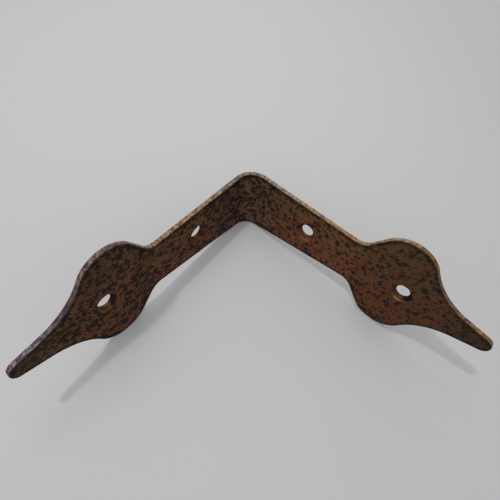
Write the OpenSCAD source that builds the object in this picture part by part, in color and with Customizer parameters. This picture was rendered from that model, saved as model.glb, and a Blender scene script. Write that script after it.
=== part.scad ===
// Corner brace bracket: one strip of sheet steel, cut to an outline with a
// lobe and a slim tip on each end, folded square and drilled for four
// countersunk screws. The two arms are mirror images of each other.
//
// Frame: the origin is the sharp outer corner, where the planes of the two
// outer faces cross, at half the width of the strip. One arm runs along +X
// with its outer face on y = 0, the other along +Y with its outer face on
// x = 0. +Z is across the width of the strip. Lengths are millimetres.

/* [Sheet] */
// Thickness of the sheet steel
plate_t = 2; // [1.8:0.1:3]
// Radius of the inside of the fold
bend_r = 5.5; // [2:0.5:9]
// Length of each arm, from the outer corner to the end of its tip
arm_len = 100; // [90:1:150]

/* [Strap] */
// Width of the strip through the fold
strap_w = 25; // [20:0.5:32]
// Angle at which each edge of the strap closes in towards the neck
strap_taper = 4; // [0:0.5:6]
// Radius of the hollow at the neck, between the strap and the lobe
neck_r = 5.5; // [3:0.5:9]

/* [Lobe] */
// Width of the lobe on its widest line
lobe_w = 42.6; // [36:0.2:50]
// Radius of the lobe's two round shoulders
lobe_r = 10.7; // [9:0.1:12]
// Angle of the straight rise from the neck up to the shoulder
rise_angle = 52; // [45:1:62]

/* [Tip] */
// Distance along the arm from the widest line of the lobe to the end of the tip
lobe_to_tip = 34.6; // [31:0.2:45]
// Radius of the round end of the tip
tip_r = 3; // [2:0.1:4]
// Angle between each edge of the tip and the centre line of the arm
tip_angle = 13; // [8:0.5:16]
// Radius of the hollow sweep from the lobe down to the tip
sweep_r = 23; // [16:0.5:26]

/* [Screw holes] */
// Diameter of each screw hole
hole_d = 4.8; // [4:0.1:5.5]
// Depth of each countersink below the inner face
csk_depth = 1.5; // [1:0.1:1.7]
// Angle of the countersink, from side to side
csk_angle = 90; // [82:1:100]
// Distance of the strap's screw hole from the outer corner
strap_hole_x = 29.8; // [22:0.2:36]
// Distance of the lobe's screw hole past the widest line of the lobe
lobe_hole_past = 3.9; // [0:0.1:8]

/* [Hidden] */

// Fineness of the round shapes
$fn = 96;
// Length by which a cutter runs past the face it opens
cut_past = 1;
// Overlap of each round with the straight edge that it touches, so that the
// two join in one clean corner and leave no sliver between them
touch = 0.0005;

// Outer radius of the fold, which is also where the flat of each arm begins
bend_out_r = bend_r + plate_t;
// Places along the arm, from the outer corner
lobe_x = arm_len - lobe_to_tip;
hole_places = [strap_hole_x, lobe_x + lobe_hole_past];

// Unit vectors along a line that runs at an angle, and square to it on its left
function along(angle) = [cos(angle), sin(angle)];
function left_of(angle) = [-sin(angle), cos(angle)];
// Point where a line through a at angle_a crosses a line through b at angle_b
function crossing(a, angle_a, b, angle_b) =
    a + (b - a) * left_of(angle_b) / sin(angle_a - angle_b) * along(angle_a);

// Straight rise that touches the shoulder of the lobe
lobe_centre = [lobe_x, lobe_w / 2 - lobe_r];
rise_end = lobe_centre + lobe_r * left_of(rise_angle);

// Hollow at the neck that touches the strap's upper edge and the rise
strap_corner = [bend_out_r, strap_w / 2];
neck_centre = crossing(
    strap_corner + neck_r * left_of(-strap_taper), -strap_taper,
    rise_end + neck_r * left_of(rise_angle), rise_angle
);
strap_end = neck_centre - neck_r * left_of(-strap_taper);
rise_start = neck_centre - neck_r * left_of(rise_angle);

// Upper edge of the tip, which touches its round end
tip_centre = [arm_len - tip_r, 0];
tip_out = left_of(-tip_angle);
tip_end = tip_centre + tip_r * tip_out;

// Hollow sweep that touches the tip's edge and the shoulder of the lobe. Its
// centre is sweep_r outside that edge, and reach away from the lobe's centre.
reach = lobe_r + sweep_r;
sweep_line = tip_end + sweep_r * tip_out;
off_line = (sweep_line - lobe_centre) * tip_out;
sweep_centre = lobe_centre + off_line * tip_out
    + sqrt(reach * reach - off_line * off_line) * along(-tip_angle);
shoulder_end = lobe_centre + lobe_r / reach * (sweep_centre - lobe_centre);
tip_start = sweep_centre - sweep_r * tip_out;

// Half of the outline of one arm's flat part, above its centre line
module half_outline() {
    difference() {
        union() {
            polygon([
                [bend_out_r, 0], strap_corner, strap_end, rise_start,
                rise_end, shoulder_end, tip_start, tip_end, tip_centre
            ]);
            translate(lobe_centre) circle(r = lobe_r + touch);
        }
        translate(neck_centre) circle(r = neck_r + touch);
        translate(sweep_centre) circle(r = sweep_r + touch);
    }
}

// Flat part of one arm, lying on z = 0 along +X with its inner face up
module flat_arm() {
    linear_extrude(height = plate_t) {
        half_outline();
        mirror([0, 1]) half_outline();
        translate(tip_centre) circle(r = tip_r + touch);
    }
}

// Cutter for one screw hole, with its countersink opening upwards
module screw_hole() {
    translate([0, 0, -cut_past]) cylinder(d = hole_d, h = plate_t + 2 * cut_past);
    translate([0, 0, plate_t - csk_depth])
        cylinder(
            d1 = hole_d,
            d2 = hole_d + 2 * (csk_depth + cut_past) * tan(csk_angle / 2),
            h = csk_depth + cut_past
        );
}

// One arm in its place along +X, drilled, with its outer face on y = 0
module arm() {
    rotate([-90, 0, 0])
        difference() {
            flat_arm();
            for (x = hole_places) translate([x, 0, 0]) screw_hole();
        }
}

// The quarter turn of sheet between the two arms
module fold() {
    translate([bend_out_r, bend_out_r, 0])
        rotate([0, 0, 180])
            rotate_extrude(angle = 90)
                translate([bend_r, -strap_w / 2])
                    square([plate_t, strap_w]);
}

module bracket() {
    color([0.27, 0.17, 0.12]) {
        fold();
        arm();
        mirror([1, -1, 0]) arm();
    }
}

bracket();
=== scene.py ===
"""A corner brace bracket of folded sheet steel in a mottled copper and black coat.

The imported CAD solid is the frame. The bracket here is a copy of it with its cut
edges rounded, dressed in a procedural coat, on a plain pale floor.
"""

from math import radians

import bmesh
import bpy
from mathutils import Matrix, Vector


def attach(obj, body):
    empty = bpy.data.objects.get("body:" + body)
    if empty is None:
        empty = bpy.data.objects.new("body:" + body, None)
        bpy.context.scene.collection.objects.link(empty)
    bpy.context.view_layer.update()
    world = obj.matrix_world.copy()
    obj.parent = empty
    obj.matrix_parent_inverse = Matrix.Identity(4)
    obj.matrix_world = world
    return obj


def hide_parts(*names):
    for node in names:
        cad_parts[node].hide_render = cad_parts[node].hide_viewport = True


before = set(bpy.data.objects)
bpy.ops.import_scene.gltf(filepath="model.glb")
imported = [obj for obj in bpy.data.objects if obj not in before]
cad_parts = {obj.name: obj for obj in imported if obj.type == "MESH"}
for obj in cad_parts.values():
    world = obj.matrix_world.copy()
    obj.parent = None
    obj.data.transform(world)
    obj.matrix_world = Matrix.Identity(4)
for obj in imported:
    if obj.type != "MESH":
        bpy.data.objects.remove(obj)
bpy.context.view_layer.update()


# Camera
# The photograph was taken by hand from in front of the angle and about 50
# degrees above it, with a 28 mm lens and a slight roll to the left.

MM = 0.001
CAMERA_PLACE = Vector((96.95, 66.59, 105.63)) * MM
IMAGE_RIGHT = Vector((-0.62787, 0.77169, 0.10137))
IMAGE_UP = Vector((-0.56019, -0.53848, 0.62947))
BACKWARDS = Vector((0.54034, 0.33845, 0.77038))

camera_data = bpy.data.cameras.new("camera")
camera_data.sensor_width = 36
camera_data.lens = 28.11
camera_data.clip_start = 1 * MM
camera_data.clip_end = 10
camera = bpy.data.objects.new("camera", camera_data)
turn = Matrix((IMAGE_RIGHT, IMAGE_UP, BACKWARDS)).transposed()
camera.matrix_world = Matrix.Translation(CAMERA_PLACE) @ turn.to_4x4()
bpy.context.scene.collection.objects.link(camera)
bpy.context.scene.camera = camera


# Bracket
# One strip of 2 mm steel, blanked to its outline, countersunk, folded square and
# coated. Blanking and the coat leave its cut edges softly rounded all the way.

FOLD_CENTRE = 7.5 * MM
HOLE_PLACES = (29.8 * MM, 69.3 * MM)
# Within this reach of a hole's axis, an edge belongs to the hole.
HOLE_REACH = 4.6 * MM
EDGE_ROUND = 0.45 * MM
HOLE_ROUND = 0.16 * MM
RIM_BAND = 1.5 * MM
SAME_POINT = 0.0001 * MM
FLAT_ANGLE = radians(0.3)
CORNER_ANGLE = radians(30)
# A face whose normal is this close to the sheet's lies on a broad side.
BROAD_SIDE = 0.99


def sheet_normal(point):
    """The direction square to the sheet at a point: an arm's, or the fold's radius."""
    if point.x > FOLD_CENTRE:
        return Vector((0, 1, 0))
    if point.y > FOLD_CENTRE:
        return Vector((1, 0, 0))
    return Vector((point.x - FOLD_CENTRE, point.y - FOLD_CENTRE, 0)).normalized()


def hole_distance(point):
    """Distance from a point to the axis of the nearest screw hole."""
    along = max(point.x, point.y)
    return min(Vector((along - place, point.z)).length for place in HOLE_PLACES)


def is_face_side(face):
    """True for the sheet's two broad sides, and not for cut edges or holes."""
    middle = face.calc_center_median()
    return abs(face.normal.dot(sheet_normal(middle))) > BROAD_SIDE


shape = bmesh.new()
shape.from_mesh(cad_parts["bracket"].data)
bmesh.ops.remove_doubles(shape, verts=shape.verts, dist=SAME_POINT)
bmesh.ops.dissolve_limit(
    shape, angle_limit=FLAT_ANGLE, verts=shape.verts, edges=shape.edges
)

corners = [edge for edge in shape.edges if edge.calc_face_angle() > CORNER_ANGLE]
hole_corners = [
    edge for edge in corners
    if all(hole_distance(v.co) < HOLE_REACH for v in edge.verts)
]
for edges, radius, steps in (
    ([edge for edge in corners if edge not in hole_corners], EDGE_ROUND, 3),
    (hole_corners, HOLE_ROUND, 2),
):
    bmesh.ops.bevel(
        shape, geom=edges, offset=radius, offset_type="OFFSET", segments=steps,
        profile=0.5, affect="EDGES", clamp_overlap=True, material=-1,
    )
shape.normal_update()

# Two values on the points guide the coat: cut_edge is 1 on the cut edges and 0
# on the broad sides, and rim fades from 1 on a broad side's outline to 0 at the
# inside of its band. The inset moves a side's own corners inwards and leaves new
# ones on the outline.
cut = shape.verts.layers.float.new("cut_edge")
rim = shape.verts.layers.float.new("rim")
for vert in shape.verts:
    if hole_distance(vert.co) > HOLE_REACH:
        vert[cut] = 1 - abs(vert.normal.dot(sheet_normal(vert.co)))
sides = [face for face in shape.faces if is_face_side(face)]
inner = set(shape.verts)
bmesh.ops.inset_region(
    shape, faces=sides, thickness=RIM_BAND, use_even_offset=True
)
for vert in shape.verts:
    if vert not in inner:
        vert[cut] = 0
        vert[rim] = hole_distance(vert.co) > HOLE_REACH
for face in shape.faces:
    face.smooth = True

mesh = bpy.data.meshes.new("corner_brace")
shape.to_mesh(mesh)
shape.free()
brace = bpy.data.objects.new("corner_brace", mesh)
bpy.context.scene.collection.objects.link(brace)
flat_sides = brace.modifiers.new("Flat sides", "WEIGHTED_NORMAL")
flat_sides.weight = 90
flat_sides.keep_sharp = False


class Link:
    """One output of a shader node. Arithmetic on it adds Math nodes to its tree."""

    def __init__(self, tree, socket=None):
        self.tree = tree
        self.socket = socket

    def node(self, kind, settings, inputs, output=0):
        """Adds a node, sets its settings, then fills its sockets."""
        made = self.tree.nodes.new("ShaderNode" + kind)
        for name, value in settings.items():
            setattr(made, name, value)
        for name, value in inputs.items():
            if isinstance(value, Link):
                self.tree.links.new(value.socket, made.inputs[name])
            else:
                made.inputs[name].default_value = value
        return Link(self.tree, made.outputs[output]) if made.outputs else None

    def math(self, operation, *values):
        return self.node("Math", {"operation": operation}, dict(enumerate(values)))

    def __add__(self, other):
        return self.math("ADD", self, other)

    def __sub__(self, other):
        return self.math("SUBTRACT", self, other)

    def __rsub__(self, other):
        return self.math("SUBTRACT", other, self)

    def __mul__(self, other):
        return self.math("MULTIPLY", self, other)

    def __truediv__(self, other):
        return self.math("DIVIDE", self, other)

    __radd__ = __add__
    __rmul__ = __mul__


def rise(value, low, high):
    """0 below low and 1 above high, with a smooth step between them."""
    return value.node(
        "MapRange", {"interpolation_type": "SMOOTHSTEP"},
        {"Value": value, "From Min": low, "From Max": high},
    )


def mixed(share, first, second):
    """A colour between two colours, each a link or three numbers."""
    a, b = (c if isinstance(c, Link) else (*c, 1) for c in (first, second))
    return share.node(
        "Mix", {"data_type": "RGBA"}, {"Factor": share, 6: a, 7: b}, output=2
    )


def layered(color, layers):
    """A colour under layers of paint, each a share and a colour, the last on top."""
    for share, tone in layers:
        color = mixed(share, color, tone)
    return color


def noise(place, size, detail, rough, output=0):
    """A noise whose features are about size metres across."""
    return place.node(
        "TexNoise", {},
        {"Vector": place, "Scale": 1 / size, "Detail": detail, "Roughness": rough},
        output=output,
    )


coat = bpy.data.materials.new("mottled_copper_coat")
coat.use_nodes = True
coat.node_tree.nodes.clear()
start = Link(coat.node_tree)
place = start.node("TexCoord", {}, {}, output="Object")
xyz = [
    start.node("SeparateXYZ", {}, {"Vector": place}, output=axis) for axis in range(3)
]
cut_edge = start.node("Attribute", {"attribute_name": "cut_edge"}, {}, output="Fac")
rim_band = start.node("Attribute", {"attribute_name": "rim"}, {}, output="Fac")

# Where a point lies: how far along its arm and from each hole, whether near the
# fold, on the X arm, on a lobe, a tip or a strap, and on the upper shoulder of
# the X lobe, which is smoother
along = place.math("MAXIMUM", xyz[0], xyz[1])
to_holes = [
    place.math("SQRT", (along - hole) * (along - hole) + xyz[2] * xyz[2])
    for hole in HOLE_PLACES
]
near_fold = 1 - rise(along, 8 * MM, 24 * MM)
x_arm = rise(xyz[0] - xyz[1], -8 * MM, 8 * MM)
x_lobe = x_arm * rise(along, 50 * MM, 60 * MM)
y_lobe = (1 - x_arm) * rise(along, 60 * MM, 70 * MM)
tips = rise(along, 80 * MM, 94 * MM)
tip_ends = rise(along, 91 * MM, 97 * MM)
straps = rise(along, 14 * MM, 26 * MM) * (1 - rise(along, 46 * MM, 56 * MM))
smooth_patch = x_lobe * rise(along, 62 * MM, 68 * MM) * rise(xyz[2], 7 * MM, 13 * MM)

# Black: two sizes of noise cut off high leave ragged flecks, and a warped cell
# pattern leaves larger spots. Both crowd together on the X arm, in the fold,
# along the rims and in loose drifts. They thin out on the X arm's strap, tip and
# smoother shoulder, and on the Y lobe.
spread = noise(place, 5 * MM, detail=2.5, rough=0.6)
crowding = (
    0.022 + 0.045 * x_arm + 0.075 * rim_band
    + 0.036 * near_fold * (1 - x_arm)
    - 0.022 * x_arm * straps
    - 0.010 * y_lobe * (1 - 1.6 * tips)
    - 0.026 * x_arm * tips
    - 0.045 * smooth_patch
    + (0.12 + 0.09 * x_arm + 0.08 * x_lobe - 0.06 * near_fold) * (spread - 0.5)
)
flecks = noise(place, 1.9 * MM, detail=4, rough=0.7)
fine_flecks = noise(place, 0.74 * MM, detail=2, rough=0.6)
blend = flecks * 0.7 + fine_flecks * 0.3
SPOT_SIZE = 2 * MM
SPOT_WARP = 2.8 * MM
ragged = noise(place, 0.8 * MM, detail=2, rough=0.6, output="Color")
spot_place = start.node(
    "VectorMath", {"operation": "MULTIPLY_ADD"},
    {0: ragged, 1: (SPOT_WARP, SPOT_WARP, SPOT_WARP), 2: place},
)
spot_gap, spot_lot = (
    start.node(
        "TexVoronoi", {}, {"Vector": spot_place, "Scale": 1 / SPOT_SIZE}, output=name
    )
    for name in ("Distance", "Color")
)
spots = rise(0.09 + 0.48 * spot_lot + 0.9 * crowding - spot_gap, -0.05, 0.06)
black = place.math(
    "MAXIMUM", rise(blend + crowding, 0.550, 0.612 + 0.01 * x_arm), spots * 0.95
)

# Brown ground: olive brown that turns to rust in drifts, low down and round the
# straps' holes, brighter where the straps are worn. The layers over it are a
# greyer fold, a warmer X lobe, dark rims, fine grain, duller tips, shoulder and Y
# lobe, and dark ends. Last comes a slight shift between greener and redder.
drift = noise(place, 3.2 * MM, detail=4, rough=0.75)
tint = noise(place, 0.9 * MM, detail=2, rough=0.6)
grain = noise(place, 0.45 * MM, detail=2, rough=0.7)
by_hole = 1 - rise(to_holes[0], 3.5 * MM, 8 * MM)
rust = rise(
    drift + 0.6 * (tint - 0.5) - xyz[2] / (160 * MM) + 0.10 * by_hole + 0.03 * y_lobe,
    0.44, 0.61,
)
worn = straps * (0.52 + 0.06 * x_arm)
olive_brown = mixed(worn, (0.084, 0.0435, 0.017), (0.156, 0.071, 0.028))
rust_brown = mixed(worn, (0.120, 0.035, 0.015), (0.196, 0.057, 0.026))
dull = tips * (0.7 - 0.35 * x_arm) + smooth_patch * 0.5 + y_lobe * 0.27
ground = layered(mixed(rust, olive_brown, rust_brown), (
    (near_fold * 0.6, (0.136, 0.086, 0.056)),
    (x_lobe * 0.4, (0.165, 0.072, 0.027)),
    (rise(rim_band, 0.1, 0.9) * 0.6, (0.020, 0.013, 0.011)),
    (rise(grain, 0.3, 0.75) * 0.6, (0.050, 0.023, 0.012)),
    (dull, (0.044, 0.025, 0.014)),
    (tip_ends * (0.2 + 0.3 * x_arm), (0.022, 0.014, 0.012)),
))
GREENER = (0.95, 1.03, 0.98)
REDDER = (1.09, 0.95, 0.95)
flush = noise(place, 1.3 * MM, detail=3, rough=0.65)
shift = mixed(rise(0.4 * rust + flush, 0.5, 0.9), GREENER, REDDER)
shifted = start.node("VectorMath", {"operation": "MULTIPLY"}, {0: ground, 1: shift})
ground = mixed(0.1 + 0.6 * near_fold + 0.5 * x_arm * (1 - near_fold), ground, shifted)
black_share = black * (0.95 - (0.08 + 0.09 * x_arm) * tips)
color = mixed(black_share, ground, (0.0095, 0.0062, 0.0056))

# Countersinks: painted shade darkens the upper flank, which faces down, and black
# painted shade lies on one side, towards the fold, or towards the tip on the Y
# lobe. The lower flank, which faces up, shows rust with a painted highlight, and
# the rim below it has a thin painted highlight line.
nearest = place.math("MINIMUM", *to_holes)
past = along - HOLE_PLACES[0] - (
    (HOLE_PLACES[1] - HOLE_PLACES[0]) * rise(along, 45 * MM, 54 * MM)
)
below = 0 - xyz[2]
flank = 1 - rise(nearest, 3.5 * MM, 3.9 * MM)
low = rise(below, -0.6 * MM, 2.4 * MM)
# Painted shade: black on the flank's shaded side.
shaded_flank_side = (
    x_arm * rise(0 - past, 0.6 * MM, 2.2 * MM) * (1 - 0.7 * straps)
    + y_lobe * rise(past, 0.3 * MM, 1.9 * MM) * rise(below, -1.4 * MM, 0.6 * MM)
    + 0.6 * (1 - x_arm) * straps * rise(0 - past, 1.6 * MM, 2.6 * MM)
)
# Rust on the lower flank, with a painted highlight where it faces up.
highlit_rusty_flank = flank * low * (1 - shaded_flank_side) * (0.8 - 0.6 * black) * (1 - 0.5 * y_lobe)
flank_rust_highlight_tone = mixed(x_lobe, (0.110, 0.040, 0.016), (0.170, 0.070, 0.021))
# A painted highlight on the lower rim of each countersink.
lit_low_rim = (
    rise(nearest, 3.3 * MM, 3.5 * MM) * (1 - rise(nearest, 3.85 * MM, 4.05 * MM))
    * rise(below, 2.1 * MM, 2.8 * MM) * rise(past, -2.4 * MM, -1.2 * MM)
    * (1 - 0.6 * shaded_flank_side)
)
painted_rim_highlight = lit_low_rim * (0.9 - 0.6 * x_arm) * (1 - 0.5 * straps)
# Painted shade on the upper flank and the shaded side, then rust with a painted
# highlight, then the painted rim highlight.
color = layered(color, (
    (flank * (1 - low) * 0.6, (0.016, 0.010, 0.008)),
    (highlit_rusty_flank, flank_rust_highlight_tone),
    (flank * shaded_flank_side * 0.85, (0.009, 0.006, 0.007)),
    (painted_rim_highlight, (0.180, 0.098, 0.044)),
))

# Cut edges: a painted highlight and reflection, with some wear, turns them gold
# and pale tan. The layers over that paint the sheen mauve grey on the X lobe,
# darker down its sweep and paler on its tip, gold on the Y lobe and tip, grey at
# the fold and brown on the X strap. Fine black peppers them all, and dark mauve
# blotches lie on the lobes. A dark line runs where each edge turns onto a broad
# side.
pepper = rise(noise(place, 1.25 * MM, detail=3, rough=0.65), 0.46, 0.55)
blotches = rise(noise(place, 2.6 * MM, detail=3, rough=0.6), 0.53, 0.58)
x_sweep = x_arm * rise(along, 72 * MM, 80 * MM) * (1 - rise(along, 84 * MM, 92 * MM))
golden = rise(along, 32 * MM, 40 * MM) * (1 - rise(along, 46 * MM, 54 * MM))
pale = rise(drift - 0.12 * golden, 0.36, 0.58)
# Painted highlight and reflection on the cut edges, with some wear.
edge_sheen_and_wear = layered(mixed(pale, (0.310, 0.175, 0.058), (0.260, 0.200, 0.140)), (
    (x_lobe, (0.186, 0.114, 0.086)),
    (x_sweep, (0.080, 0.056, 0.055)),
    (x_arm * tips, (0.195, 0.145, 0.140)),
    (y_lobe, (0.195, 0.100, 0.030)),
    (y_lobe * tips, (0.275, 0.160, 0.050)),
    (near_fold * (0.4 + 0.4 * x_arm), (0.135, 0.120, 0.105)),
    (x_arm * straps * 0.3, (0.170, 0.100, 0.055)),
    (pepper * (0.7 + 0.12 * x_arm), (0.034, 0.028, 0.036)),
    (blotches * (x_lobe + y_lobe) * 0.75, (0.040, 0.030, 0.048)),
))
arris = rise(cut_edge, 0.02, 0.15) * (1 - rise(cut_edge, 0.35, 0.6))
color = layered(color, (
    (arris * 0.6, (0.014, 0.010, 0.010)),
    (rise(cut_edge, 0.4, 0.75), edge_sheen_and_wear),
))

bump_height = 0.5 * (1 - black) + 0.25 * grain
bump = start.node(
    "Bump", {}, {"Strength": 0.3, "Distance": 0.05 * MM, "Height": bump_height}
)
surface = start.node(
    "BsdfPrincipled", {},
    {"Base Color": color, "Roughness": 0.55 + 0.1 * black, "Metallic": 0.2 * (1 - black),
     "Normal": bump, "Specular IOR Level": 0.06},
)
start.node("OutputMaterial", {}, {"Surface": surface})
mesh.materials.append(coat)

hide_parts("bracket")
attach(brace, "root")


# Floor
# The bracket lies as in the photograph, leaning on its two lobes and on the
# lower edge of the fold, so the plain matt floor slopes under it by 11.4 degrees.
# It fades into an even backdrop further out, and is clear from beneath.

FLOOR_SLOPE = radians(11.4)
FOLD_FOOT = Vector((2.19, 2.19, -12.53)) * MM
FLOOR_RADIUS = 1.5
FADE_FROM = 0.12
FADE_TO = 0.4
BACKDROP = (0.51, 0.51, 0.51, 1)

floor_shape = bmesh.new()
bmesh.ops.create_circle(floor_shape, cap_ends=True, radius=FLOOR_RADIUS, segments=64)
bmesh.ops.rotate(
    floor_shape, verts=floor_shape.verts,
    matrix=Matrix.Rotation(FLOOR_SLOPE, 3, Vector((-1, 1, 0))),
)
bmesh.ops.translate(floor_shape, verts=floor_shape.verts, vec=FOLD_FOOT)
floor_mesh = bpy.data.meshes.new("floor")
floor_shape.to_mesh(floor_mesh)
floor_shape.free()
floor = bpy.data.objects.new("floor", floor_mesh)
bpy.context.scene.collection.objects.link(floor)


def seen_directly(start):
    """1 for what the camera sees, itself or in gloss, and 0 for light on things."""
    camera_ray, glossy_ray, clear_ray = (
        start.node("LightPath", {}, {}, output=f"Is {name} Ray")
        for name in ("Camera", "Glossy", "Transmission")
    )
    return camera_ray + glossy_ray + clear_ray


paint = bpy.data.materials.new("pale_floor")
paint.use_nodes = True
paint.node_tree.nodes.clear()
start = Link(paint.node_tree)
matt = start.node(
    "BsdfPrincipled", {},
    {"Base Color": (0.415, 0.41, 0.41, 1), "Roughness": 0.9, "Specular IOR Level": 0.1},
)
place = start.node("TexCoord", {}, {}, output="Object")
away = start.node("VectorMath", {"operation": "LENGTH"}, {0: place}, output="Value")
plain = start.node("Emission", {}, {"Color": BACKDROP, "Strength": 1})
far = rise(away, FADE_FROM, FADE_TO) * seen_directly(start)
top = start.node("MixShader", {}, {0: far, 1: matt, 2: plain})
from_below = start.node("NewGeometry", {}, {}, output="Backfacing")
clear = start.node("BsdfTransparent", {}, {})
one_sided = start.node("MixShader", {}, {0: from_below, 1: top, 2: clear})
start.node("OutputMaterial", {}, {"Surface": one_sided})
floor_mesh.materials.append(paint)


# Light
# A small lamp and a broad one overhead cast the narrow and the soft shadow. A
# pane behind the fold gleams along the upper edges, a weak fill from the front
# has no shadow of its own, and an even pale surround does the rest.

BRACKET_MIDDLE = Vector((35, 35, 0)) * MM


def softbox(name, direction, distance, size, watts, shadow=True):
    """A square lamp that faces the bracket from one direction."""
    lamp = bpy.data.lights.new(name, "AREA")
    lamp.shape = "SQUARE"
    lamp.size = size
    lamp.energy = watts
    lamp.use_shadow = shadow
    placed = bpy.data.objects.new(name, lamp)
    towards = Vector(direction).normalized()
    placed.matrix_world = (
        Matrix.Translation(BRACKET_MIDDLE + distance * towards)
        @ towards.to_track_quat("Z", "Y").to_matrix().to_4x4()
    )
    placed.visible_camera = False
    bpy.context.scene.collection.objects.link(placed)


softbox("ceiling_lamp", (0.278, -0.161, 0.947), distance=0.8, size=0.045, watts=1.65)
softbox("broad_lamp", (-0.085, -0.213, 0.973), distance=0.35, size=0.2, watts=0.5)
softbox("window_pane", (-0.60, -0.45, 0.66), distance=0.4, size=0.32, watts=0.22)
softbox(
    "front_fill", (0.88, 0.30, 0.36), distance=1.0, size=0.7, watts=3.2, shadow=False
)

surround = bpy.data.worlds.new("surround")
surround.use_nodes = True
surround.node_tree.nodes.clear()
start = Link(surround.node_tree)
even_light = start.node(
    "Background", {}, {"Color": (0.94, 0.96, 1, 1), "Strength": 0.57}
)
seen_pale = start.node("Background", {}, {"Color": BACKDROP, "Strength": 1})
world = start.node(
    "MixShader", {}, {0: seen_directly(start), 1: even_light, 2: seen_pale}
)
start.node("OutputWorld", {}, {"Surface": world})
bpy.context.scene.world = surround
bpy.context.scene.view_settings.view_transform = "Standard"
